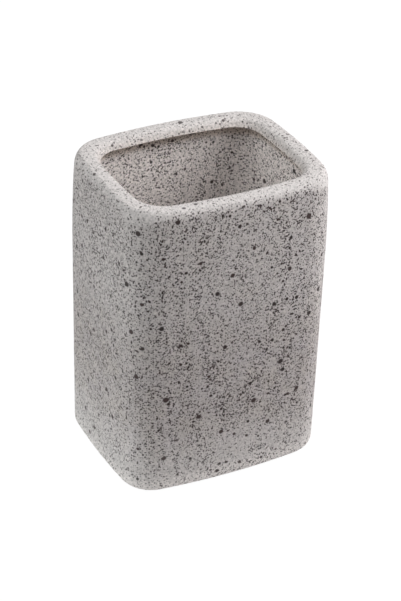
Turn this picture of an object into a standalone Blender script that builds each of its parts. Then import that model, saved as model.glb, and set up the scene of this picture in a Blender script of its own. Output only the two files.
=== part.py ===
"""Bathroom tumbler that toothbrushes stand in: a cast ceramic cup on four self-adhesive pads.

The cup is one casting. Its plan is a rectangle whose four sides bulge a little and whose corners are
round, drawn with eight arcs that meet tangentially. One profile runs from the recessed underside, round
the lower edge, up the wall, over the rolled rim, down the inside and across the floor. The plan changes
along that profile, because the corners are tighter at the foot than at the rim and the mouth is rounder
than a parallel of the body's outline, so the cup is a loft through plan sections, not an extrusion.

Run with: blender --background --python part.py
Metres, +Z up. The origin is on the surface that the pads stand on, under the middle of the cup.
The front, a long side, faces -Y.
"""

import math

import bmesh
import bpy

# Driving sizes: the body, whose plan is widest at the belt, below the rim
BODY_WIDTH = 0.0772
BODY_DEPTH = 0.0637
BODY_HEIGHT = 0.1100
BELT_HEIGHT = 0.0810
LONG_SIDE_CROWN = 0.0014
SHORT_SIDE_CROWN = 0.0006
CORNER_AT_FOOT = 0.0119
CORNER_AT_RIM = 0.0143

# Driving sizes: wall and lower edge
WALL = 0.0055
OUTER_DRAFT = 0.0010
INNER_DRAFT = 0.0010
LOWER_EDGE_WIDTH = 0.0059
LOWER_EDGE_HEIGHT = 0.0044
FLOOR_THICKNESS = 0.0070
FLOOR_FILLET = 0.0055

# Driving sizes: rolled rim and mouth
RIM_WIDTH = 0.0084
RIM_LEAN = 0.0006
SHOULDER_WIDTH = 0.0022
SHOULDER_HEIGHT = 0.0040
LIP_HEIGHT = 0.0030
LIP_FULLNESS = 5.0
LIP_SLANT = 0.25
UNDERCUT_HEIGHT = 0.0030
MOUTH_CORNER = 0.0097
MOUTH_LONG_CROWN = 0.0011
MOUTH_SHORT_CROWN = 0.0004

# Driving sizes: foot and pads
FOOT_LAND = 0.0050
RECESS_DEPTH = 0.0012
RECESS_SLOPE = 0.0008
RECESS_CORNER = 0.0045
PAD_DIAMETER = 0.0090
PAD_THICKNESS = 0.0022
PAD_EDGE = 0.0003
PAD_TO_RECESS_EDGE = 0.0020
PAD_SEAT_GAP = 0.0003

# The pads lift the foot clear of the surface by what they stand out of the recess
STAND_OFF = PAD_THICKNESS + PAD_SEAT_GAP - RECESS_DEPTH

# Facets: straight steps in each arc of the plan, and in each curve of the profile
LONG_STEPS = 8
SHORT_STEPS = 6
CORNER_STEPS = 8
WALL_STEPS = 4
LEAN_STEPS = 5
CURVE_STEPS = 7
PAD_SIDES = 24

GLAZE = ("speckled_glaze", (0.50, 0.45, 0.42, 1.0), 0.75)
PAD_RUBBER = ("pad_rubber", (0.62, 0.61, 0.58, 1.0), 0.85)


class Section:
    """A plan section: a rectangle with round corners and sides that bulge by their crown."""

    def __init__(self, width, depth, corner, long_crown, short_crown):
        self.width = width
        self.depth = depth
        self.corner = corner
        self.long_crown = long_crown
        self.short_crown = short_crown

    def inset(self, distance):
        """The parallel curve inside this one: every arc keeps its centre and loses that much radius."""
        return Section(
            self.width - 2 * distance,
            self.depth - 2 * distance,
            self.corner - distance,
            self.long_crown,
            self.short_crown,
        )

    def blend(self, other, share):
        """The section that lies this share of the way to another one."""
        mix = [a + (b - a) * share for a, b in zip(self.sizes(), other.sizes())]
        return Section(*mix)

    def sizes(self):
        return (self.width, self.depth, self.corner, self.long_crown, self.short_crown)

    def points(self):
        """The outline, anticlockwise from the middle of the right side, as (x, y) pairs.

        Each quarter has half of a short side's arc, a corner and half of a long side's arc. A side's arc
        rises by its crown between the two corners, so its half angle is twice the arctangent of the
        crown over the corner centre's distance from the middle.
        """
        centre_x = self.width / 2 - self.corner - self.short_crown
        centre_y = self.depth / 2 - self.corner - self.long_crown
        long_angle = 2 * math.atan(self.long_crown / centre_x)
        short_angle = 2 * math.atan(self.short_crown / centre_y)
        long_radius = centre_x / math.sin(long_angle) + self.corner
        short_radius = centre_y / math.sin(short_angle) + self.corner
        corner_end = math.pi / 2 - long_angle
        arcs = (
            (self.width / 2 - short_radius, 0, short_radius, 0, short_angle, SHORT_STEPS // 2),
            (centre_x, centre_y, self.corner, short_angle, corner_end, CORNER_STEPS),
            (0, self.depth / 2 - long_radius, long_radius, corner_end, math.pi / 2, LONG_STEPS // 2),
        )
        quarter = [(self.width / 2, 0)]
        for x, y, radius, start, end, steps in arcs:
            for step in range(1, steps + 1):
                angle = start + (end - start) * step / steps
                quarter.append((x + radius * math.cos(angle), y + radius * math.sin(angle)))
        upper_half = quarter + [(-x, y) for x, y in reversed(quarter[:-1])]
        return upper_half + [(x, -y) for x, y in reversed(upper_half[1:-1])]


def outer_section(height):
    """The body's plan at a height over the foot: drafted below the belt, and curving in above it."""
    below = max(0.0, 1 - height / BELT_HEIGHT)
    above = max(0.0, (height - BELT_HEIGHT) / (BODY_HEIGHT - BELT_HEIGHT))
    inset = OUTER_DRAFT * below + RIM_LEAN * above**3
    corner = CORNER_AT_FOOT + (CORNER_AT_RIM - CORNER_AT_FOOT) * height / BODY_HEIGHT
    return Section(
        BODY_WIDTH - 2 * inset,
        BODY_DEPTH - 2 * inset,
        corner,
        LONG_SIDE_CROWN,
        SHORT_SIDE_CROWN,
    )


def mouth_section():
    """The plan of the rim's inner edge, the narrowest line of the opening."""
    return Section(
        BODY_WIDTH - 2 * RIM_WIDTH,
        BODY_DEPTH - 2 * RIM_WIDTH,
        MOUTH_CORNER,
        MOUTH_LONG_CROWN,
        MOUTH_SHORT_CROWN,
    )


def cavity_section(height):
    """The plan of the inside wall, set back under the rim's lip and drafted to the floor."""
    top = BODY_HEIGHT - LIP_HEIGHT - UNDERCUT_HEIGHT
    draft = INNER_DRAFT * (top - height) / (top - FLOOR_THICKNESS)
    return mouth_section().inset(WALL - RIM_WIDTH + draft)


def underside_stations():
    """From the middle of the recess to the outer edge of the foot's flat land."""
    foot = outer_section(0).inset(LOWER_EDGE_WIDTH)
    recess = Section(
        foot.width - 2 * FOOT_LAND,
        foot.depth - 2 * FOOT_LAND,
        RECESS_CORNER,
        foot.long_crown,
        foot.short_crown,
    )
    return [(recess.inset(RECESS_SLOPE), RECESS_DEPTH), (recess, 0.0), (foot, 0.0)]


def outside_stations():
    """Up the outside: elliptic lower edge, drafted wall to the belt, then the stretch that curves in."""
    stations = []
    for step in range(1, CURVE_STEPS + 1):
        angle = math.pi / 2 * step / CURVE_STEPS
        height = LOWER_EDGE_HEIGHT * (1 - math.cos(angle))
        stations.append((outer_section(height).inset(LOWER_EDGE_WIDTH * (1 - math.sin(angle))), height))
    for step in range(1, WALL_STEPS + 1):
        height = LOWER_EDGE_HEIGHT + (BELT_HEIGHT - LOWER_EDGE_HEIGHT) * step / WALL_STEPS
        stations.append((outer_section(height), height))
    shoulder_start = BODY_HEIGHT - SHOULDER_HEIGHT
    for step in range(1, LEAN_STEPS + 1):
        height = BELT_HEIGHT + (shoulder_start - BELT_HEIGHT) * step / LEAN_STEPS
        stations.append((outer_section(height), height))
    return stations


def rim_stations():
    """Over the rim: an elliptic shoulder, then a full lip down to its inner edge, then the undercut.

    The lip's inner face would hang straight down. The slant leans it back, by that share of its width.
    """
    stations = []
    for step in range(1, CURVE_STEPS + 1):
        angle = math.pi / 2 * step / CURVE_STEPS
        height = BODY_HEIGHT - SHOULDER_HEIGHT * (1 - math.sin(angle))
        stations.append((outer_section(height).inset(SHOULDER_WIDTH * (1 - math.cos(angle))), height))
    crest, _ = stations[-1]
    mouth = mouth_section()
    for step in range(1, CURVE_STEPS + 1):
        angle = math.pi / 2 * step / CURVE_STEPS
        down = 1 - max(0.0, math.cos(angle)) ** (2 / LIP_FULLNESS)
        across = (1 - LIP_SLANT) * math.sin(angle) ** (2 / LIP_FULLNESS) + LIP_SLANT * down
        stations.append((crest.blend(mouth, across), BODY_HEIGHT - LIP_HEIGHT * down))
    undercut_top = BODY_HEIGHT - LIP_HEIGHT
    wall = cavity_section(undercut_top - UNDERCUT_HEIGHT)
    for step in range(1, CURVE_STEPS + 1):
        angle = math.pi / 2 * step / CURVE_STEPS
        height = undercut_top - UNDERCUT_HEIGHT * (1 - math.cos(angle))
        stations.append((mouth.blend(wall, math.sin(angle)), height))
    return stations


def inside_stations():
    """Down the inside wall and round the fillet to the edge of the flat floor."""
    stations = []
    top = BODY_HEIGHT - LIP_HEIGHT - UNDERCUT_HEIGHT
    fillet_top = FLOOR_THICKNESS + FLOOR_FILLET
    for step in range(1, WALL_STEPS + 1):
        height = top + (fillet_top - top) * step / WALL_STEPS
        stations.append((cavity_section(height), height))
    for step in range(1, CURVE_STEPS + 1):
        angle = math.pi / 2 * step / CURVE_STEPS
        height = fillet_top - FLOOR_FILLET * math.sin(angle)
        stations.append((cavity_section(height).inset(FLOOR_FILLET * (1 - math.cos(angle))), height))
    return stations


def material(name, colour, roughness):
    made = bpy.data.materials.new(name)
    made.use_nodes = True
    shader = made.node_tree.nodes["Principled BSDF"]
    shader.inputs["Base Color"].default_value = colour
    shader.inputs["Roughness"].default_value = roughness
    shader.inputs["Metallic"].default_value = 0.0
    made.diffuse_color = colour
    return made


def loft(name, stations, collection):
    """A closed body through the sections: walls between neighbours, and a flat cap at each end."""
    model = bmesh.new()
    rings = []
    for section, height in stations:
        rings.append([model.verts.new((x, y, height)) for x, y in section.points()])
    for lower, upper in zip(rings, rings[1:]):
        count = len(lower)
        for i in range(count):
            j = (i + 1) % count
            model.faces.new((lower[i], lower[j], upper[j], upper[i]))
    model.faces.new(list(reversed(rings[0])))
    model.faces.new(rings[-1])
    bmesh.ops.recalc_face_normals(model, faces=model.faces)
    mesh = bpy.data.meshes.new(name)
    model.to_mesh(mesh)
    model.free()
    made = bpy.data.objects.new(name, mesh)
    collection.objects.link(made)
    return made


def tumbler_body(collection):
    stations = underside_stations() + outside_stations() + rim_stations() + inside_stations()
    body = loft("tumbler_body", stations, collection)
    body.location.z = STAND_OFF
    body.data.shade_smooth()
    body.data.set_sharp_from_angle(angle=math.radians(50))
    body.data.materials.append(material(*GLAZE))
    return body


def foot_pads(collection, body):
    """Four round pads stuck in the recess, each the same distance from the recess's two sides."""
    recess, _ = underside_stations()[0]
    reach = PAD_DIAMETER / 2 + PAD_TO_RECESS_EDGE
    x = recess.width / 2 - recess.short_crown - reach
    y = recess.depth / 2 - recess.long_crown - reach
    rubber = material(*PAD_RUBBER)
    for side, sign_y in (("front", -1), ("back", 1)):
        for hand, sign_x in (("left", -1), ("right", 1)):
            bpy.ops.mesh.primitive_cylinder_add(
                vertices=PAD_SIDES,
                radius=PAD_DIAMETER / 2,
                depth=PAD_THICKNESS,
                location=(sign_x * x, sign_y * y, PAD_THICKNESS / 2),
            )
            pad = bpy.context.object
            pad.name = f"foot_pad_{side}_{hand}"
            pad.data.name = pad.name
            for holder in list(pad.users_collection):
                holder.objects.unlink(pad)
            collection.objects.link(pad)
            edge = pad.modifiers.new("rounded_edge", "BEVEL")
            edge.width = PAD_EDGE
            edge.segments = 2
            edge.angle_limit = math.radians(60)
            pad.data.shade_smooth()
            pad.data.set_sharp_from_angle(angle=math.radians(50))
            pad.data.materials.append(rubber)
            pad.parent = body
            pad.matrix_parent_inverse = body.matrix_world.inverted()


def main():
    for old in list(bpy.data.objects):
        bpy.data.objects.remove(old, do_unlink=True)
    collection = bpy.data.collections.new("toothbrush_tumbler")
    bpy.context.scene.collection.children.link(collection)
    body = tumbler_body(collection)
    bpy.context.view_layer.update()
    foot_pads(collection, body)


main()
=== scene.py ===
# %% [markdown]
# This lesson dresses a bathroom tumbler, the cup that toothbrushes stand in beside a basin. It is one
# slip-cast ceramic cup with a rolled rim, glazed in a warm pale grey that dries matt, and spattered with
# dark brown drops before the firing. Four small rubber pads under it keep it from sliding.
#
# The solid model of the cup and its pads is already made, at its real size. It is loaded first and never
# moved, because everything that follows has to fit it. Metres, +Z up, and the front faces -Y.

import math

import bpy
import numpy as np
from mathutils import Matrix, Vector


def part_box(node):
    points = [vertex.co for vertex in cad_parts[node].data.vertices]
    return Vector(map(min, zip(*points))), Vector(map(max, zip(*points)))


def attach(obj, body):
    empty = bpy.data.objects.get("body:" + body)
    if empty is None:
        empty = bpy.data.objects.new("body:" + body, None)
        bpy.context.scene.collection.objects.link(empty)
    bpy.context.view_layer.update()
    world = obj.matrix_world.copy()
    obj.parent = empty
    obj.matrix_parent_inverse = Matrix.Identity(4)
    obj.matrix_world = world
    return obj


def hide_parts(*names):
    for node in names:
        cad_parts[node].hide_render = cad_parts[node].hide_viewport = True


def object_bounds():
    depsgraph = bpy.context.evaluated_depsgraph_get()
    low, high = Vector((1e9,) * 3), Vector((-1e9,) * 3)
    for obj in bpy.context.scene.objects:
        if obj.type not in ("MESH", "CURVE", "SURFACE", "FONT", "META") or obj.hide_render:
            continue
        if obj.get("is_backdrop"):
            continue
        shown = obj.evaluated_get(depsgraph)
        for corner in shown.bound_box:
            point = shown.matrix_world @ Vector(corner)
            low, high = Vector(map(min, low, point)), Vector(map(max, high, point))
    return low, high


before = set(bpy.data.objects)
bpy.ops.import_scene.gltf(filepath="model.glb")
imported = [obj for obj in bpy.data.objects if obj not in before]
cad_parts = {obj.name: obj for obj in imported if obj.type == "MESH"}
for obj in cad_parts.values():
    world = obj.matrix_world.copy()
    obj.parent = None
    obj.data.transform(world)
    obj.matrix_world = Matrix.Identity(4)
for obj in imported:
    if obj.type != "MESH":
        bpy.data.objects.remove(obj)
solid_low, solid_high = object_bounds()
print("solid model, mm:", [round(1000 * size, 2) for size in solid_high - solid_low])

# %% [markdown]
# The cup's form has three parts. Its plan is a rectangle with round corners and sides that bulge a
# little, because a plaster mould draws easier off a full form than off a flat one. Its profile runs from
# the hollow under the foot, round the lower edge, up the wall, over the rolled rim, down the inside and
# across the floor. And the plan changes on the way: the corners are tighter at the foot than at the rim,
# and the mouth is rounder than a parallel of the body's outline.
#
# A cube with bevels and a Subdivision Surface would round everything alike, and it couldn't hold the
# crease under the lip. So the cup is worked out as a grid: one direction goes round the plan, the other
# goes along the profile. The outer size comes from the solid, and the rest are the maker's own sizes.

# %% The cup's sizes
MM = 0.001
cup_low, cup_high = (np.array(corner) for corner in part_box("tumbler_body"))
CUP_WIDTH, CUP_DEPTH, CUP_HEIGHT = cup_high - cup_low
FOOT_LEVEL = cup_low[2]

BELT_HEIGHT = 81.0 * MM
LONG_SIDE_CROWN = 1.4 * MM
SHORT_SIDE_CROWN = 0.6 * MM
CORNER_AT_FOOT = 11.9 * MM
CORNER_AT_RIM = 14.3 * MM
OUTER_DRAFT = 1.0 * MM
RIM_LEAN = 0.6 * MM

WALL = 5.5 * MM
INNER_DRAFT = 1.0 * MM
LOWER_EDGE_WIDTH = 5.9 * MM
LOWER_EDGE_HEIGHT = 4.4 * MM
FLOOR_THICKNESS = 7.0 * MM
FLOOR_FILLET = 5.5 * MM
FLOOR_DISH = 0.3 * MM

RIM_WIDTH = 8.4 * MM
SHOULDER_WIDTH = 2.2 * MM
SHOULDER_HEIGHT = 4.0 * MM
LIP_HEIGHT = 3.0 * MM
LIP_FULLNESS = 5.0
LIP_SLANT = 0.25
LIP_EDGE = 0.15 * MM
UNDERCUT_HEIGHT = 3.0 * MM
MOUTH_CORNER = 9.7 * MM
MOUTH_LONG_CROWN = 1.1 * MM
MOUTH_SHORT_CROWN = 0.4 * MM

FOOT_LAND = 5.0 * MM
RECESS_DEPTH = 1.2 * MM
RECESS_SLOPE = 0.8 * MM
RECESS_CORNER = 4.5 * MM
print("cup, mm:", [round(float(size) / MM, 2) for size in (CUP_WIDTH, CUP_DEPTH, CUP_HEIGHT)])

# %% [markdown]
# A plan section is five numbers: width, depth, corner radius, and how far the long and the short sides
# bulge. Keeping them as rows of an array lets numpy bend a whole stack of sections at once. Two
# operations are enough for the profile. An inset draws the parallel curve inside a section, and a blend
# goes part of the way from one section to another.

# %% Plan sections as rows of sizes
LOSS_TO_INSET = np.array([2, 2, 1, 0, 0])


def inset(rows, distance):
    """Parallel curves inside: width and depth lose twice the distance, and the corner loses it once."""
    return rows - np.multiply.outer(np.atleast_1d(distance), LOSS_TO_INSET)


def blend(row, other, share):
    """Sections that lie these shares of the way from one row to another, as row + share * difference."""
    return row + np.multiply.outer(np.atleast_1d(share), other - row)


MOUTH = np.array([
    CUP_WIDTH - 2 * RIM_WIDTH,
    CUP_DEPTH - 2 * RIM_WIDTH,
    MOUTH_CORNER,
    MOUTH_LONG_CROWN,
    MOUTH_SHORT_CROWN,
])
print("mouth, mm:", [round(float(size) / MM, 2) for size in MOUTH])

# %% [markdown]
# With rows, the whole outside is a function of the height, and so is the cavity. The outside is widest at
# a belt rather high up, and comes in from there both ways. The cavity starts below the hollow under the
# lip and narrows a little towards the floor.

# %% The plan at any height
UNDERCUT_TOP = CUP_HEIGHT - LIP_HEIGHT
CAVITY_TOP = UNDERCUT_TOP - UNDERCUT_HEIGHT


def outside_rows(height):
    """The cup's plan at heights over the foot.

    Below the belt the sides come in by a straight draft. Above it they lean in by the cube of the
    height's share, and the corner's radius grows evenly from the foot to the rim.
    """
    below = np.maximum(0, 1 - height / BELT_HEIGHT)
    above = np.maximum(0, (height - BELT_HEIGHT) / (CUP_HEIGHT - BELT_HEIGHT))
    come_in = OUTER_DRAFT * below + RIM_LEAN * above**3
    corner = CORNER_AT_FOOT + (CORNER_AT_RIM - CORNER_AT_FOOT) * height / CUP_HEIGHT
    sizes = (CUP_WIDTH - 2 * come_in, CUP_DEPTH - 2 * come_in, corner, LONG_SIDE_CROWN, SHORT_SIDE_CROWN)
    return np.stack(np.broadcast_arrays(*sizes), axis=-1)


def inside_rows(height):
    """The cavity's plan at heights over the foot: set back under the lip, and drafted to the floor."""
    draft = INNER_DRAFT * (CAVITY_TOP - height) / (CAVITY_TOP - FLOOR_THICKNESS)
    return inset(MOUTH, WALL - RIM_WIDTH + draft)


print("cavity at its top, mm:", (inside_rows(CAVITY_TOP)[0, :2] / MM).round(2))

# %% [markdown]
# The profile is made of short stretches, each a function of an angle or a share that runs from its start
# to its end. Most round edges are a quarter of an ellipse. The lip is fuller than that, so it gets a
# quarter of a superellipse. Flat ends close with a cap, whose rings shrink towards the middle.
#
# The superellipse's points are spread by their polar angle. Powers of sine and cosine would draw the same
# curve, but they leave the last millimetre before the lip's edge without a point, and smooth shading then
# dims that whole strip.

# %% Helpers for the profile's stretches
CAP_STEPS = 12
CAP_REACH = 0.98


def shares(steps):
    """Even shares of a stretch without its start, which the stretch before it has already: 1/n to 1."""
    return np.arange(1, steps + 1) / steps


def quarter_turn(steps):
    """Sine and cosine of angles that run through a quarter turn in even steps, without the start."""
    angle = shares(steps) * math.pi / 2
    return np.sin(angle), np.maximum(np.cos(angle), 0)


def superellipse(steps, fullness):
    """Across and up, along a quarter of x^n + y^n = 1, from its top to its side at even polar angles.

    A point's distance from the middle is the sum of the n-th powers of its angle's sine and cosine, to
    the power of minus one over n.
    """
    sine, cosine = quarter_turn(steps)
    distance = (sine**fullness + cosine**fullness) ** (-1 / fullness)
    return distance * sine, distance * cosine


def cap(row, height, rise):
    """A flat cap: rings that are the edge's section scaled down, to almost nothing in the middle.

    The middle stands off the edge by the rise, which goes with the square of the share that is gone.
    """
    gone = shares(CAP_STEPS) * CAP_REACH
    return np.multiply.outer(1 - gone, row), height + rise * gone**2


print("a quarter turn in two steps:", np.stack(quarter_turn(2)).round(3).tolist())

# %% [markdown]
# The cup was fired standing on a flat ring. Inside the ring the foot is hollowed a little, because a
# full foot would rock, and the hollow leaves room for the pads. From the ring the profile goes round the
# lower edge, up the wall and over the shoulder to the crest of the rim. Curves get close steps and the
# wall wide ones.

# %% The stretches from the middle of the underside to the crest
LAND_STEPS = 4
LOWER_EDGE_STEPS = 14
WALL_STEPS = 58
SHOULDER_STEPS = 14

foot_row = inset(outside_rows(np.array(0.0)), LOWER_EDGE_WIDTH)[0]
recess_row = np.array([
    foot_row[0] - 2 * FOOT_LAND,
    foot_row[1] - 2 * FOOT_LAND,
    RECESS_CORNER,
    LONG_SIDE_CROWN,
    SHORT_SIDE_CROWN,
])
recess_top = inset(recess_row, RECESS_SLOPE)[0]
under_rows, under_heights = cap(recess_top, RECESS_DEPTH, 0.0)
land_share = shares(LAND_STEPS)
stretches = [
    (under_rows[::-1], under_heights[::-1]),
    (recess_top[None], np.array([RECESS_DEPTH])),
    (recess_row[None], np.array([0.0])),
    (blend(recess_row, foot_row, land_share), 0.0 * land_share),
]

sine, cosine = quarter_turn(LOWER_EDGE_STEPS)
height = LOWER_EDGE_HEIGHT * (1 - cosine)
stretches.append((inset(outside_rows(height), LOWER_EDGE_WIDTH * (1 - sine)), height))

shoulder_start = CUP_HEIGHT - SHOULDER_HEIGHT
height = LOWER_EDGE_HEIGHT + (shoulder_start - LOWER_EDGE_HEIGHT) * shares(WALL_STEPS)
stretches.append((outside_rows(height), height))

sine, cosine = quarter_turn(SHOULDER_STEPS)
height = CUP_HEIGHT - SHOULDER_HEIGHT * (1 - sine)
stretches.append((inset(outside_rows(height), SHOULDER_WIDTH * (1 - cosine)), height))
print("rings up to the crest:", sum(len(rows) for rows, _ in stretches))

# %% [markdown]
# The lip's inner face leans back a little, so it catches the light from above. It ends in a small round,
# as glaze always rounds an edge, and under it a hollow curve runs back into the wall: from above, that is
# the dark line round the inside of the rim. The mouth isn't a parallel of the outside, so each of these
# stretches is a blend from one plan to another.

# %% The stretches over the lip and under it
LIP_STEPS = 36
LIP_EDGE_STEPS = 5
UNDERCUT_STEPS = 9

crest = stretches[-1][0][-1]
full_across, full_up = superellipse(LIP_STEPS, LIP_FULLNESS)
down = 1 - full_up
across = (1 - LIP_SLANT) * full_across + LIP_SLANT * down
stretches.append((blend(crest, MOUTH, across), CUP_HEIGHT - (LIP_HEIGHT - LIP_EDGE) * down))

wall_top = inside_rows(CAVITY_TOP)[0]
edge_share = LIP_EDGE / (RIM_WIDTH - WALL)
sine, cosine = quarter_turn(LIP_EDGE_STEPS)
stretches.append((blend(MOUTH, wall_top, edge_share * (1 - cosine)), UNDERCUT_TOP + LIP_EDGE * (1 - sine)))

sine, cosine = quarter_turn(UNDERCUT_STEPS)
back_share = edge_share + (1 - edge_share) * sine
stretches.append((blend(MOUTH, wall_top, back_share), UNDERCUT_TOP - UNDERCUT_HEIGHT * (1 - cosine)))
print("rings up to the cavity:", sum(len(rows) for rows, _ in stretches))

# %% [markdown]
# Below the hollow the inside is plain: the drafted wall, a round where it meets the floor, and a floor
# that sinks a little towards its middle. Then all the stretches are joined into one stack of sections.

# %% The stretches inside the cavity, and the whole profile
CAVITY_STEPS = 54
FILLET_STEPS = 12

fillet_top = FLOOR_THICKNESS + FLOOR_FILLET
height = CAVITY_TOP + (fillet_top - CAVITY_TOP) * shares(CAVITY_STEPS)
stretches.append((inside_rows(height), height))

sine, cosine = quarter_turn(FILLET_STEPS)
height = fillet_top - FLOOR_FILLET * sine
stretches.append((inset(inside_rows(height), FLOOR_FILLET * (1 - cosine)), height))
stretches.append(cap(stretches[-1][0][-1], FLOOR_THICKNESS, -FLOOR_DISH))

section_rows = np.concatenate([rows for rows, _ in stretches])
section_heights = np.concatenate([heights for _, heights in stretches])
print("sections along the profile:", len(section_rows))

# %% [markdown]
# Each section is then drawn as twelve arcs that meet tangentially: a half of each side, a corner, and so
# on round. Arcs need no fitting and no handles, and because every section has the same number of steps in
# the same arcs, the points of neighbouring sections line up into clean quads.

# %% The plan's arcs
SHORT_SIDE_STEPS = 22
CORNER_STEPS = 40
LONG_SIDE_STEPS = 34


def outlines(rows, heights):
    """Points of every section, as an array of sections by steps by three, anticlockwise from +X.

    A side's arc rises by its crown between the corner's centre and the middle, so it turns through twice
    the arctangent of the crown over that distance, and its radius is the distance over the sine of the
    turn, plus the corner's radius. One quarter is drawn and mirrored for the others.
    """
    width, depth, corner, long_crown, short_crown = rows.T[:, :, None]
    centre_x = width / 2 - corner - short_crown
    centre_y = depth / 2 - corner - long_crown
    long_turn = 2 * np.arctan(long_crown / centre_x)
    short_turn = 2 * np.arctan(short_crown / centre_y)
    long_radius = centre_x / np.sin(long_turn) + corner
    short_radius = centre_y / np.sin(short_turn) + corner
    short_angle = short_turn * np.linspace(0, 1, SHORT_SIDE_STEPS + 1)
    corner_angle = short_turn + (math.pi / 2 - long_turn - short_turn) * shares(CORNER_STEPS)
    long_angle = math.pi / 2 - long_turn * (1 - shares(LONG_SIDE_STEPS))
    x = np.concatenate([
        width / 2 - short_radius + short_radius * np.cos(short_angle),
        centre_x + corner * np.cos(corner_angle),
        long_radius * np.cos(long_angle),
    ], axis=1)
    y = np.concatenate([
        short_radius * np.sin(short_angle),
        centre_y + corner * np.sin(corner_angle),
        depth / 2 - long_radius + long_radius * np.sin(long_angle),
    ], axis=1)
    x = np.concatenate([x, -x[:, -2::-1]], axis=1)
    y = np.concatenate([y, y[:, -2::-1]], axis=1)
    x = np.concatenate([x, x[:, -2:0:-1]], axis=1)
    y = np.concatenate([y, -y[:, -2:0:-1]], axis=1)
    return np.stack([x, y, np.broadcast_to(heights[:, None], x.shape)], axis=-1)


grid = outlines(section_rows, section_heights)
grid[..., 2] += FOOT_LEVEL
print("grid of the cup:", grid.shape, "points")

# %% [markdown]
# A cast cup is never perfectly fair. The slip dries at different speeds and the foot settles in the
# kiln, so its sides wander by a tenth of a millimetre. That could be a Displace modifier with a cloud
# texture, but three long waves a direction say the same with a formula. The surface only moves inwards,
# so the cup stays within the solid's size.

# %% Let the cast surface wander a little
WANDER = 0.10 * MM
WANDER_LENGTHS = (41 * MM, 27 * MM, 17 * MM)
STILL_OVER_RECESS = 0.1 * MM


def surface_normals(points):
    """Unit normals of a closed grid: the cross product of its steps round the plan and along the profile."""
    around = np.roll(points, -1, axis=1) - np.roll(points, 1, axis=1)
    along = np.gradient(points, axis=0)
    normal = np.cross(around, along)
    return normal / np.maximum(np.linalg.norm(normal, axis=-1, keepdims=True), 1e-12)


def long_waves(points):
    """Between 0 and 1: for each length a product of two sines across and one sine up, added and scaled."""
    x, y, z = np.moveaxis(points, -1, 0)
    total = 0.0
    for turn, length in enumerate(WANDER_LENGTHS):
        pace = 2 * math.pi / length
        total = total + np.sin(pace * x + turn) * np.sin(pace * y + 2 * turn) + np.sin(pace * z + 3 * turn)
    return 0.5 + total / (4 * len(WANDER_LENGTHS))


normals = surface_normals(grid)
crest_index = int(np.argmax(section_heights))
outside = (np.arange(len(grid)) <= crest_index)[:, None]
under_foot = grid[..., 2] < FOOT_LEVEL + RECESS_DEPTH + STILL_OVER_RECESS
moved_in = np.where(outside & under_foot, 0.0, WANDER * long_waves(grid))
grid = grid - moved_in[..., None] * normals
belt_ring = int(np.argmax(section_heights > BELT_HEIGHT))
print("normal of the right wall at the belt:", normals[belt_ring, 0].round(2))

# %% [markdown]
# The spatter isn't even. The cup is turned under the brush, so the walls catch most of it, the rounded
# edges less, and the top of the rim least. There the glaze has also run thin and looks paler. The rest is
# painted light and shade. The outside is painted paler near the foot for the floor's bounce, up high for
# the light from above, and more on the short sides up high and on the corners for the side light. The
# inside, the lip's face and the lower edge are painted almost white for the light they catch, the lip's
# face gets a painted warm tint for the light bounced in the cup, and the hollow under the lip a painted
# browner shade. The ring that the cup stood on in the kiln has no glaze.
#
# All this could be painted on by hand. But the profile and the plan already know where the rim, the foot
# and the corners are, so it is worked out from them. First come the shares: how much a place belongs to
# each of these, between 0 and 1. The rim's shares go by the way along the profile from its crest, and
# the outside ones reach further down at the corners, where the brush turns.

# %% How much each place belongs to the rim, the foot and the corners
RIM_REACH_OUTSIDE = 6.0 * MM
RIM_FADE_OUTSIDE = 4.5 * MM
RIM_REACH_INSIDE = 9.0 * MM
RIM_FADE_INSIDE = 1.5 * MM
FEW_SPECKS_REACH = 4.5 * MM
FEW_SPECKS_FADE = 3.5 * MM
FURTHER_ON_CORNERS = 4.0 * MM
FOOT_REACH = 3.0 * MM
FOOT_FADE = 30.0 * MM
HIGH_FROM = 45.0 * MM
HIGH_FADE = 35.0 * MM
CORNER_PEAK = 0.325


def ease(share):
    """A smooth step: 3 s^2 - 2 s^3, with s held between 0 and 1."""
    share = np.clip(share, 0, 1)
    return share * share * (3 - 2 * share)


def corner_shares(wall_normals):
    """Up to 1 on a corner, where it turns into the short side: x^3 y, over its peak on a unit circle."""
    x, y = np.moveaxis(wall_normals, -1, 0)
    return x**3 * y / CORNER_PEAK


middle_line = np.stack([section_rows[:, 0] / 2, section_heights], axis=-1)
steps_along = np.linalg.norm(np.diff(middle_line, axis=0), axis=-1)
travel = np.concatenate([[0.0], np.cumsum(steps_along)])
from_crest = (travel - travel[crest_index])[:, None]

foot_share = np.where(outside, 1 - ease((section_heights - FOOT_REACH) / FOOT_FADE)[:, None], 0.0)
high_share = ease((section_heights - HIGH_FROM) / HIGH_FADE)[:, None]
plan_normal = np.abs(normals[..., :2])
corner_share = np.where(outside, corner_shares(plan_normal), 0.0)

below_crest = from_crest + FURTHER_ON_CORNERS * corner_share
outside_fade = ease((RIM_REACH_OUTSIDE + below_crest) / RIM_FADE_OUTSIDE)
inside_fade = ease((RIM_REACH_INSIDE - from_crest) / RIM_FADE_INSIDE)
few_specks_fade = ease((FEW_SPECKS_REACH + below_crest) / FEW_SPECKS_FADE)
rim_share = np.where(outside, outside_fade, inside_fade)
few_specks = np.where(outside, few_specks_fade, inside_fade)
print("way along the profile, mm:", round(float(travel[-1]) / MM, 1))
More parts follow.
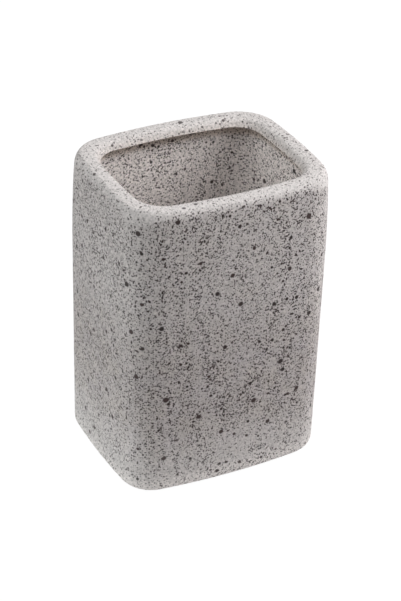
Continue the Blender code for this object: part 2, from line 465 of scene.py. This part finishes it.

# %% [markdown]
# From the shares come five values, to be stored on the mesh's points. They tell the material how many
# specks there are, how pale the thin rim glaze and the painted light make the ground, how much painted
# light lies inside and on the lower edge, how much painted warm tint and shade lie at the lip, and how
# bare the clay is.

# %% What the material has to know
SPECKS_LEFT_ON_RIM = 0.38
SPECKS_LEFT_INSIDE = 0.80
SPECKS_LEFT_AT_FOOT = 0.60
SPECKS_LEFT_ON_CORNERS = 0.85
PAINTED_BOUNCE_AT_FOOT = 0.78
PAINTED_LIGHT_UP_HIGH = 0.38
PAINTED_LIGHT_ON_SHORT_SIDES = 0.28
PAINTED_HIGHLIGHT_ON_CORNERS = 0.14
PAINTED_LIGHT_ON_LIP = 0.60
PAINTED_BOUNCE_ON_LOWER_EDGE = 0.95
LOWER_EDGE_FADE = 10.0 * MM
PAINTED_WARM_TINT_ON_LIP = 0.50
PAINTED_SHADE_FADE = 1.0 * MM
DOWN_LIP_POWER = 4
LAND_LEVEL = 0.15 * MM

specks = (
    (1 - (1 - SPECKS_LEFT_ON_RIM) * few_specks)
    * (1 - (1 - SPECKS_LEFT_AT_FOOT) * foot_share)
    * (1 - (1 - SPECKS_LEFT_ON_CORNERS) * corner_share)
    * np.where(outside, 1.0, few_specks + (1 - few_specks) * SPECKS_LEFT_INSIDE)
)
# Painted light on the outside: paler near the foot for the floor's bounce, up high for the light from above,
# and more on the short sides up high and on the corners for the side light.
painted_light_outside = (
    PAINTED_BOUNCE_AT_FOOT * foot_share
    + PAINTED_LIGHT_UP_HIGH * high_share
    + PAINTED_LIGHT_ON_SHORT_SIDES * (plan_normal[..., 0] * high_share) ** 2
    + PAINTED_HIGHLIGHT_ON_CORNERS * corner_share
)
thin_rim_and_painted_light = np.maximum(rim_share, np.where(outside, painted_light_outside, 0.0))

lip_end_ring = crest_index + LIP_STEPS + LIP_EDGE_STEPS
lip_end = from_crest[lip_end_ring]
hollow_end = from_crest[lip_end_ring + UNDERCUT_STEPS]
# Painted light and shade: a warm tint on the lip's face for the light bounced in the cup, and a browner shade
# in the hollow under the lip.
down_lip = np.clip(from_crest / lip_end, 0, 1) ** DOWN_LIP_POWER
painted_shade_in_hollow = 1 - ease((from_crest - hollow_end) / PAINTED_SHADE_FADE)
painted_tint_and_shade_along = np.where(from_crest <= lip_end, PAINTED_WARM_TINT_ON_LIP * down_lip, painted_shade_in_hollow)
painted_tint_and_shade = np.broadcast_to(painted_tint_and_shade_along, specks.shape)

# Painted light: the inside and the lip's face are painted almost white for the light they catch, and the
# lower edge for the floor's bounce.
painted_light_inside = np.maximum(1 - rim_share, PAINTED_LIGHT_ON_LIP * down_lip)
recess_edge_ring = len(under_rows) + 1
past_recess = (np.arange(len(grid)) > recess_edge_ring)[:, None]
painted_bounce_on_edge = PAINTED_BOUNCE_ON_LOWER_EDGE * past_recess * (1 - ease(section_heights / LOWER_EDGE_FADE))[:, None]
painted_light_inside_and_edge = np.where(outside, painted_bounce_on_edge, painted_light_inside)

land = outside & (section_heights <= LAND_LEVEL)[:, None]
bareness = np.broadcast_to(land, specks.shape).astype(float)
specks = specks * (1 - bareness)
print("specks kept, least and most:", round(float(specks.min()), 2), round(float(specks.max()), 2))

# %% [markdown]
# The grid becomes a mesh in one go. Quads join each ring to the next, and one point closes the middle of
# the underside and one the middle of the floor. foreach_set hands numpy's arrays to Blender whole, which
# takes milliseconds where a loop over the vertices would take seconds.

# %% Build the cup's mesh


def closed_grid(name, points, values):
    """A mesh from rings of points, with a fan to a middle point at each end, and one attribute a value."""
    rings, around = points.shape[:2]
    ends = points[[0, -1]].mean(axis=1)
    vertices = np.concatenate([points.reshape(-1, 3), ends])
    index = np.arange(rings * around).reshape(rings, around)
    after = np.roll(index, -1, axis=1)
    quads = np.stack([index[:-1], after[:-1], after[1:], index[1:]], axis=-1).reshape(-1, 4)
    first, last = len(vertices) - 2, len(vertices) - 1
    start_fan = np.stack([after[0], index[0], np.full(around, first)], axis=-1)
    end_fan = np.stack([index[-1], after[-1], np.full(around, last)], axis=-1)
    corners = np.concatenate([quads.ravel(), start_fan.ravel(), end_fan.ravel()])
    sides = np.repeat([4, 3], [len(quads), 2 * around])
    mesh = bpy.data.meshes.new(name)
    mesh.vertices.add(len(vertices))
    mesh.vertices.foreach_set("co", vertices.ravel())
    mesh.loops.add(len(corners))
    mesh.loops.foreach_set("vertex_index", corners)
    mesh.polygons.add(len(sides))
    mesh.polygons.foreach_set("loop_start", np.concatenate([[0], np.cumsum(sides)[:-1]]))
    for key, value in values.items():
        spread = np.concatenate([value.ravel(), value[[0, -1]].mean(axis=1)])
        attribute = mesh.attributes.new(key, "FLOAT", "POINT")
        attribute.data.foreach_set("value", spread.astype(np.float32))
    mesh.update(calc_edges=True)
    mesh.validate()
    mesh.shade_smooth()
    made = bpy.data.objects.new(name, mesh)
    bpy.context.scene.collection.objects.link(made)
    return made


stored_values = {
    "specks": specks,
    "thin_rim_and_painted_light": thin_rim_and_painted_light,
    "painted_light_inside_and_edge": painted_light_inside_and_edge,
    "painted_tint_and_shade": painted_tint_and_shade,
    "bareness": bareness,
}
cup = closed_grid("glazed_cup", grid, stored_values)
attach(cup, "root")
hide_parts("tumbler_body")
print("cup:", len(cup.data.polygons), "faces")

# %% [markdown]
# Materials are networks of nodes, and networks grow long. A few helpers keep the rest readable. One places
# a node and fills its inputs with numbers or with other nodes' outputs, and two more do so for a single
# sum and for a mix of two colours. The last two open a node group, for effects that are used again, and
# place it in a material.

# %% Helpers for nodes


def place(tree, kind, inputs=None, **settings):
    """Adds a node, sets its properties, and fills each named input with a value or a link."""
    made = tree.nodes.new("ShaderNode" + kind)
    for key, value in settings.items():
        setattr(made, key, value)
    for key, value in (inputs or {}).items():
        if isinstance(value, bpy.types.NodeSocket):
            tree.links.new(value, made.inputs[key])
        else:
            made.inputs[key].default_value = value
    return made


def maths(tree, operation, *values):
    """One Math node on numbers or outputs, in order."""
    return place(tree, "Math", dict(enumerate(values)), operation=operation).outputs[0]


def mixed(tree, share, first, second):
    """One Mix node on two colours, by a share."""
    return place(tree, "Mix", {0: share, 6: first, 7: second}, data_type="RGBA").outputs[2]


def group(name, inputs, outputs):
    """An empty node group, with its input node and its output node."""
    tree = bpy.data.node_groups.new(name, "ShaderNodeTree")
    for direction, sockets in (("INPUT", inputs), ("OUTPUT", outputs)):
        for key, kind in sockets.items():
            tree.interface.new_socket(key, in_out=direction, socket_type="NodeSocket" + kind)
    return tree, tree.nodes.new("NodeGroupInput").outputs, tree.nodes.new("NodeGroupOutput").inputs


def use(tree, group_tree, inputs):
    """Places a group in a material and fills its inputs."""
    return place(tree, "Group", inputs, node_tree=group_tree).outputs


print("helpers for nodes are ready")

# %% [markdown]
# A spatter of drops is round blots of many sizes at random places. A Voronoi texture has one random point
# in each of its cells, and the distance to that point, compared with a radius, gives a blot. The cell's
# random colour then serves as three dice: one makes the drop larger or smaller, one says whether there
# is a drop at all, and one makes it darker or lighter. A noise that pushes the place about first makes
# the outline ragged. The pattern is solid, so it runs over edges and into corners without a seam.

# %% The spatter group
PUSHES_IN_A_RADIUS = 0.55
SMALLEST_DROP = 0.4
SMALL_DROPS_POWER = 1.5
DROP_FULL_TO = 0.85
DROP_GONE_AT = 1.10

spatter, given, result = group(
    "spatter",
    {"Place": "Vector", "Cell": "Float", "Radius": "Float", "Share": "Float", "Ragged": "Float"},
    {"Cover": "Float", "Tone": "Float"},
)
push_scale = maths(spatter, "DIVIDE", PUSHES_IN_A_RADIUS, given["Radius"])
push = place(spatter, "TexNoise", {"Vector": given["Place"], "Scale": push_scale, "Detail": 1.0})
centred = place(spatter, "VectorMath", {0: push.outputs["Color"], 1: (0.5, 0.5, 0.5)}, operation="SUBTRACT")
moved = place(spatter, "VectorMath", {0: centred.outputs[0], "Scale": given["Ragged"]}, operation="SCALE")
where = place(spatter, "VectorMath", {0: given["Place"], 1: moved.outputs[0]}, operation="ADD")
cells = place(
    spatter,
    "TexVoronoi",
    {"Vector": where.outputs[0], "Scale": maths(spatter, "DIVIDE", 1.0, given["Cell"])},
    feature="F1",
)
dice = place(spatter, "SeparateColor", {"Color": cells.outputs["Color"]})
distance = maths(spatter, "MULTIPLY", cells.outputs["Distance"], given["Cell"])
size_die = maths(spatter, "POWER", dice.outputs[0], SMALL_DROPS_POWER)
size_share = maths(spatter, "MULTIPLY_ADD", size_die, 1 - SMALLEST_DROP, SMALLEST_DROP)
radius = maths(spatter, "MULTIPLY", given["Radius"], size_share)
inner = maths(spatter, "MULTIPLY", radius, DROP_FULL_TO)
outer = maths(spatter, "MULTIPLY", radius, DROP_GONE_AT)
blot = place(
    spatter,
    "MapRange",
    {"Value": distance, "From Min": inner, "From Max": outer, "To Min": 1.0, "To Max": 0.0},
    interpolation_type="SMOOTHSTEP",
)
there = maths(spatter, "LESS_THAN", dice.outputs[1], given["Share"])
spatter.links.new(maths(spatter, "MULTIPLY", blot.outputs[0], there), result["Cover"])
spatter.links.new(dice.outputs[2], result["Tone"])
print("spatter group:", len(spatter.nodes), "nodes")

# %% [markdown]
# Glaze, clay and rubber all vary softly in tone. That is the second group: two noises, a broad one and a
# fine one, brought to a value around zero, to be added to whatever it should vary.

# %% The unevenness group
uneven, given, result = group(
    "unevenness",
    {"Place": "Vector", "Broad": "Float", "Fine": "Float"},
    {"Broad": "Float", "Fine": "Float"},
)
for key in ("Broad", "Fine"):
    noise = place(
        uneven,
        "TexNoise",
        {"Vector": given["Place"], "Scale": maths(uneven, "DIVIDE", 1.0, given[key]), "Detail": 2.0},
    )
    uneven.links.new(maths(uneven, "SUBTRACT", noise.outputs["Fac"], 0.5), result[key])
print("unevenness group:", len(uneven.nodes), "nodes")

# %% [markdown]
# Every material starts alike: with the shader that Blender gives it, and with the place on the object,
# scaled so that all sizes below can be given in millimetres. What the mesh holds at its points comes in
# through an Attribute node.

# %% Start a material


def new_material(name):
    """A material with only its Principled shader and its output, and the place in millimetres."""
    made = bpy.data.materials.new(name)
    made.use_nodes = True
    tree = made.node_tree
    coordinates = place(tree, "TexCoord")
    scaled = place(tree, "VectorMath", {0: coordinates.outputs["Object"], "Scale": 1 / MM}, operation="SCALE")
    return made, tree, tree.nodes["Principled BSDF"], scaled.outputs[0]


def stored(tree, name):
    """A value that the mesh holds at its points."""
    return place(tree, "Attribute", attribute_name=name).outputs["Fac"]


print("places are scaled by", round(1 / MM), "for the materials")

# %% [markdown]
# Now the glaze itself. Five spatters lie over each other, from a mist of drops about half a millimetre
# across to a few splashes of about two. Dense cells with a drop in each would look like a net, so the
# finer drops' cells are small and most of them stay empty, which leaves the drops where chance puts them.
# Their number follows the value stored on the mesh and two soft noises, as a brush throws its drops in
# swarms.

# %% Where the glaze has its drops
SPATTERS = {
    "mist": {"Cell": 0.40, "Radius": 0.33, "Share": 0.28, "Ragged": 0.05},
    "dust": {"Cell": 0.64, "Radius": 0.43, "Share": 0.38, "Ragged": 0.07},
    "fine drops": {"Cell": 2.60, "Radius": 0.64, "Share": 0.38, "Ragged": 0.18},
    "drops": {"Cell": 4.60, "Radius": 0.98, "Share": 0.58, "Ragged": 0.35},
    "splashes": {"Cell": 8.50, "Radius": 1.20, "Share": 0.90, "Ragged": 0.55},
}
SWARM_SIZES = {"Broad": 7.0, "Fine": 2.4}
SWARM_STRENGTH = 0.35
CLUMP_STRENGTH = 0.75
COVER_OF_FEWEST = 0.80

glaze, tree, shader, spot = new_material("speckled_glaze")
swarm = use(tree, uneven, {"Place": spot, **SWARM_SIZES})
swarm_share = maths(tree, "MULTIPLY_ADD", swarm["Broad"], SWARM_STRENGTH, 1.0)
clump_share = maths(tree, "MULTIPLY_ADD", swarm["Fine"], CLUMP_STRENGTH, swarm_share)
wanted = stored(tree, "specks")
density = maths(tree, "MULTIPLY", clump_share, wanted)
thickness = maths(tree, "MULTIPLY_ADD", wanted, 1 - COVER_OF_FEWEST, COVER_OF_FEWEST)

bare = 1.0
tone = 0.0
for sizes in SPATTERS.values():
    share = maths(tree, "MULTIPLY", density, sizes["Share"])
    drops = use(tree, spatter, {"Place": spot, **sizes, "Share": share})
    bare = maths(tree, "MULTIPLY", bare, maths(tree, "SUBTRACT", 1.0, drops["Cover"]))
    tone = maths(tree, "MAXIMUM", tone, maths(tree, "MULTIPLY", drops["Tone"], drops["Cover"]))
covered = maths(tree, "MULTIPLY", maths(tree, "SUBTRACT", 1.0, bare), thickness)
print("spatters over each other:", ", ".join(SPATTERS))

# %% [markdown]
# Under the drops the grey shifts a little between warm and neutral, and varies in brightness. Over that
# the stored values lay the other colours, each by its share: a thin pale glaze on the rim, with painted
# light on the outside in the same colour, an almost white painted light inside and on the lower edge, a
# painted warm tint on the lip and a painted browner shade under it, and no glaze at all on the foot ring,
# where the clay shows.

# %% The glaze's colour
GLAZE_GREY = (0.482, 0.443, 0.448, 1.0)
GLAZE_WARM = (0.492, 0.449, 0.427, 1.0)
# The pale colour serves the thin rim glaze and painted light, the almost white one painted light, and the
# browner one painted warm tint and shade.
GLAZE_THIN_AND_PAINTED_LIGHT = (0.650, 0.615, 0.608, 1.0)
GLAZE_PAINTED_LIGHT = (0.862, 0.810, 0.792, 1.0)
GLAZE_PAINTED_WARM_SHADE = (0.660, 0.585, 0.530, 1.0)
BARE_CLAY = (0.620, 0.560, 0.490, 1.0)
DROP_DARK = (0.012, 0.006, 0.006, 1.0)
DROP_LIGHT = (0.042, 0.022, 0.021, 1.0)
TONE_SIZES = {"Broad": 7.0, "Fine": 0.7}
WARMTH = 0.5
WARMTH_SPREAD = 2.0
BRIGHTNESS_SPREAD = 1.20

variation = use(tree, uneven, {"Place": spot, **TONE_SIZES})
warmth = maths(tree, "MULTIPLY_ADD", variation["Broad"], WARMTH_SPREAD, WARMTH)
ground = mixed(tree, warmth, GLAZE_GREY, GLAZE_WARM)
# The next three mixes lay the pale rim glaze with painted light, the painted light inside and on the lower
# edge, and the painted warm tint and shade at the lip.
ground = mixed(tree, stored(tree, "thin_rim_and_painted_light"), ground, GLAZE_THIN_AND_PAINTED_LIGHT)
ground = mixed(tree, stored(tree, "painted_light_inside_and_edge"), ground, GLAZE_PAINTED_LIGHT)
ground = mixed(tree, stored(tree, "painted_tint_and_shade"), ground, GLAZE_PAINTED_WARM_SHADE)
ground = mixed(tree, stored(tree, "bareness"), ground, BARE_CLAY)
brightness = maths(tree, "MULTIPLY_ADD", variation["Fine"], BRIGHTNESS_SPREAD, 1.0)
ground = place(tree, "VectorMath", {0: ground, "Scale": brightness}, operation="SCALE").outputs[0]
drop_colour = mixed(tree, tone, DROP_DARK, DROP_LIGHT)
tree.links.new(mixed(tree, covered, ground, drop_colour), shader.inputs["Base Color"])
cup.data.materials.append(glaze)
print("glaze, colour only:", len(tree.nodes), "nodes")

# %% [markdown]
# Colour alone would look printed on. What tells a matt glaze from paint is how it takes the light. The
# ground is rough and hardly mirrors, and a fine grain breaks up what shine is left. The drops stand
# slightly proud of it and have melted a little smoother. All this relief is far too small for the mesh,
# so a Bump node makes it.

# %% The glaze's shine and grain
DRY_SHINE = 0.30
GROUND_ROUGHNESS = 0.72
ROUGHNESS_SPREAD = 0.16
DROPS_SMOOTHER_BY = 0.16
GRAIN_SIZES = {"Broad": 0.6, "Fine": 0.16}
BROAD_GRAIN_HEIGHT = 0.6
FINE_GRAIN_HEIGHT = 0.25
DROP_HEIGHT = 0.35
GLAZE_BUMP = {"Strength": 0.35, "Distance": 0.06 * MM}

shader.inputs["Specular IOR Level"].default_value = DRY_SHINE
dull = maths(tree, "MULTIPLY_ADD", variation["Fine"], ROUGHNESS_SPREAD, GROUND_ROUGHNESS)
tree.links.new(maths(tree, "MULTIPLY_ADD", covered, -DROPS_SMOOTHER_BY, dull), shader.inputs["Roughness"])
grain = use(tree, uneven, {"Place": spot, **GRAIN_SIZES})
fine_relief = maths(tree, "MULTIPLY", grain["Fine"], FINE_GRAIN_HEIGHT)
grain_relief = maths(tree, "MULTIPLY_ADD", grain["Broad"], BROAD_GRAIN_HEIGHT, fine_relief)
relief = maths(tree, "MULTIPLY_ADD", covered, DROP_HEIGHT, grain_relief)
bump = place(tree, "Bump", {"Height": relief, **GLAZE_BUMP})
tree.links.new(bump.outputs[0], shader.inputs["Normal"])
print("glaze, with shine and grain:", len(tree.nodes), "nodes")

# %% [markdown]
# The pads are die-cut from a sheet of dense foam rubber. They keep the solid model's shape, which is
# right already, and only get a better finish: a warm light grey with open pores, a little wear, and no
# shine. The pores come from the same spatter group as the drops, with other sizes.

# %% The pads' rubber
RUBBER = (0.600, 0.590, 0.560, 1.0)
RUBBER_WORN = (0.690, 0.680, 0.660, 1.0)
RUBBER_PORE = (0.330, 0.320, 0.300, 1.0)
PORES = {"Cell": 0.55, "Radius": 0.16, "Share": 0.8, "Ragged": 0.08}
RUBBER_SIZES = {"Broad": 2.5, "Fine": 0.5}
WEAR = 0.4
WEAR_SPREAD = 2.0
RUBBER_ROUGHNESS = 0.85
RUBBER_ROUGHNESS_SPREAD = 0.2
RUBBER_BUMP = {"Strength": 0.6, "Distance": 0.08 * MM}

rubber, tree, shader, spot = new_material("pad_rubber")
variation = use(tree, uneven, {"Place": spot, **RUBBER_SIZES})
pores = use(tree, spatter, {"Place": spot, **PORES})
worn = maths(tree, "MULTIPLY_ADD", variation["Broad"], WEAR_SPREAD, WEAR)
surface = mixed(tree, worn, RUBBER, RUBBER_WORN)
tree.links.new(mixed(tree, pores["Cover"], surface, RUBBER_PORE), shader.inputs["Base Color"])
rough = maths(tree, "MULTIPLY_ADD", variation["Fine"], RUBBER_ROUGHNESS_SPREAD, RUBBER_ROUGHNESS)
tree.links.new(rough, shader.inputs["Roughness"])
pores_sunk = maths(tree, "MULTIPLY_ADD", pores["Cover"], -1.0, variation["Fine"])
bump = place(tree, "Bump", {"Height": pores_sunk, **RUBBER_BUMP})
tree.links.new(bump.outputs[0], shader.inputs["Normal"])
pads = [node for name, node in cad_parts.items() if name.startswith("foot_pad")]
for pad in pads:
    for slot in pad.material_slots:
        slot.material = rubber
print("pads in rubber:", len(pads))

# %% [markdown]
# The cup was photographed for a catalogue, in a tent of white cloth that leaves no edge on the
# background. Here a floor stands for the tent's bottom. To the camera it glows almost white, with a share
# of its real shading left in, so that the cup keeps its shadow. To the cup it is a plain white card
# that throws light back up at the lower edge. The surroundings are white to the camera and dark to the
# cup, which gets all its light from the floor and from the boxes that follow.

# %% The floor and the surroundings
FLOOR_SIZE = 6.0
FLOOR_WHITE = (0.80, 0.80, 0.80, 1.0)
FLOOR_GLOW = 1.065
FLOOR_GLOW_SHARE = 0.93


def seen_directly(tree):
    """1 for rays from the camera, and for those that it sees mirrored or through glass, else 0."""
    rays = place(tree, "LightPath").outputs
    mirrored = maths(tree, "MAXIMUM", rays["Is Camera Ray"], rays["Is Glossy Ray"])
    return maths(tree, "MAXIMUM", mirrored, rays["Is Transmission Ray"])


bpy.ops.mesh.primitive_plane_add(size=FLOOR_SIZE, location=(0, 0, 0))
floor = bpy.context.object
floor.name = "studio_floor"
paper = bpy.data.materials.new("white_paper")
paper.use_nodes = True
tree = paper.node_tree
tree.nodes.clear()
card = place(tree, "BsdfDiffuse", {"Color": FLOOR_WHITE})
glow = place(tree, "Emission", {"Color": (1, 1, 1, 1), "Strength": FLOOR_GLOW})
share = maths(tree, "MULTIPLY", seen_directly(tree), FLOOR_GLOW_SHARE)
blended = place(tree, "MixShader", {0: share, 1: card.outputs[0], 2: glow.outputs[0]})
place(tree, "OutputMaterial", {"Surface": blended.outputs[0]})
floor.data.materials.append(paper)
floor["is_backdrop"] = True

world = bpy.data.worlds.new("white_tent")
world.use_nodes = True
bpy.context.scene.world = world
tree = world.node_tree
tree.nodes.clear()
sky = place(tree, "Background", {"Color": (1, 1, 1, 1), "Strength": seen_directly(tree)})
place(tree, "OutputWorld", {"Surface": sky.outputs[0]})
print("floor and surroundings are white")

# %% [markdown]
# The photograph was taken with a long lens, so the cup's edges hardly converge. The camera's place is
# given as a photographer would: how far round to the left of the front, how high, how far away, a slight
# tilt of the camera, and where on the cup it aims.

# %% The camera
CAMERA_ROUND_LEFT = math.radians(27.91)
CAMERA_HEIGHT_ANGLE = math.radians(31.34)
CAMERA_TILT = math.radians(1.95)
CAMERA_DISTANCE = 0.7232
LENS = 125.6
SENSOR_WIDTH = 36.0
AIM_RIGHT = 1.41 * MM
AIM_UP = 0.20 * MM

back = Vector((
    -math.sin(CAMERA_ROUND_LEFT) * math.cos(CAMERA_HEIGHT_ANGLE),
    -math.cos(CAMERA_ROUND_LEFT) * math.cos(CAMERA_HEIGHT_ANGLE),
    math.sin(CAMERA_HEIGHT_ANGLE),
))
level_right = Vector((math.cos(CAMERA_ROUND_LEFT), -math.sin(CAMERA_ROUND_LEFT), 0))
level_up = back.cross(level_right)
right = math.cos(CAMERA_TILT) * level_right + math.sin(CAMERA_TILT) * level_up
up = math.cos(CAMERA_TILT) * level_up - math.sin(CAMERA_TILT) * level_right
cup_middle = Vector((0, 0, FOOT_LEVEL + CUP_HEIGHT / 2))
eye = cup_middle + back * CAMERA_DISTANCE + right * AIM_RIGHT + up * AIM_UP

lens = bpy.data.cameras.new("camera")
lens.lens = LENS
lens.sensor_fit = "AUTO"
lens.sensor_width = SENSOR_WIDTH
camera = bpy.data.objects.new("camera", lens)
camera.matrix_world = Matrix.Translation(eye) @ Matrix((right, up, back)).transposed().to_4x4()
bpy.context.scene.collection.objects.link(camera)
bpy.context.scene.camera = camera
print("camera at", [round(metres, 3) for metres in eye])

# %% [markdown]
# The light is soft but not even. Most comes from a large box high on the right, and about half as much
# from one high on the left. A weak low box at either side fills in, and a short strip near the floor, a
# hand's breadth to the left, brightens the lower edge as the tent's bottom does. Least comes from the
# camera's own side, so the corner nearest to it is the darkest. Each box has its direction, in degrees
# round to the camera's left and up, its distance and size, and its level: the light that it throws on a
# white card at the cup, where 1 would show the card as white.

# %% The softboxes


def softbox(name, round_left, height_angle, distance, width, depth, level, colour):
    """An area light aimed at the cup.

    A card that faces it at this distance gets level * pi of light where the watts are the level times
    pi squared times the distance squared.
    """
    light = bpy.data.lights.new(name, "AREA")
    light.shape = "RECTANGLE"
    light.size = width
    light.size_y = depth
    light.energy = level * math.pi**2 * distance**2
    light.color = colour
    towards = Vector((
        -math.sin(round_left) * math.cos(height_angle),
        -math.cos(round_left) * math.cos(height_angle),
        math.sin(height_angle),
    ))
    made = bpy.data.objects.new(name, light)
    made.location = cup_middle + towards * distance
    made.rotation_euler = towards.to_track_quat("Z", "Y").to_euler()
    bpy.context.scene.collection.objects.link(made)


BOX = (0.60, 0.55, 0.45)
STRIP = (0.10, 0.14, 0.02)
BOXES = {
    "box_right": {"at": (-90, 45), "size": BOX, "level": 1.00, "colour": (1.01, 1.00, 0.99)},
    "box_left": {"at": (66, 50), "size": BOX, "level": 0.53, "colour": (0.98, 1.00, 0.99)},
    "box_low_left": {"at": (90, 25), "size": BOX, "level": 0.08, "colour": (0.96, 1.00, 1.00)},
    "box_low_right": {"at": (-115, 14), "size": BOX, "level": 0.20, "colour": (0.97, 1.00, 1.02)},
    "strip_left": {"at": (67, -28), "size": STRIP, "level": 0.15, "colour": (0.94, 1.01, 1.00)},
}
for name, box in BOXES.items():
    round_left = CAMERA_ROUND_LEFT + math.radians(box["at"][0])
    softbox(name, round_left, math.radians(box["at"][1]), *box["size"], box["level"], box["colour"])
bpy.context.scene.view_settings.view_transform = "Standard"
print("softboxes:", len(BOXES))

# %% [markdown]
# The last cell gathers how large the dressed model is beside the solid one, and prints the dressed size.

# %% Sizes of the solid and the dressed model
dressed_low, dressed_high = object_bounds()
sizes = {
    "cad": [list(solid_low), list(solid_high)],
    "visual": [list(dressed_low), list(dressed_high)],
}
print("dressed model, mm:", [round(1000 * size, 2) for size in dressed_high - dressed_low])
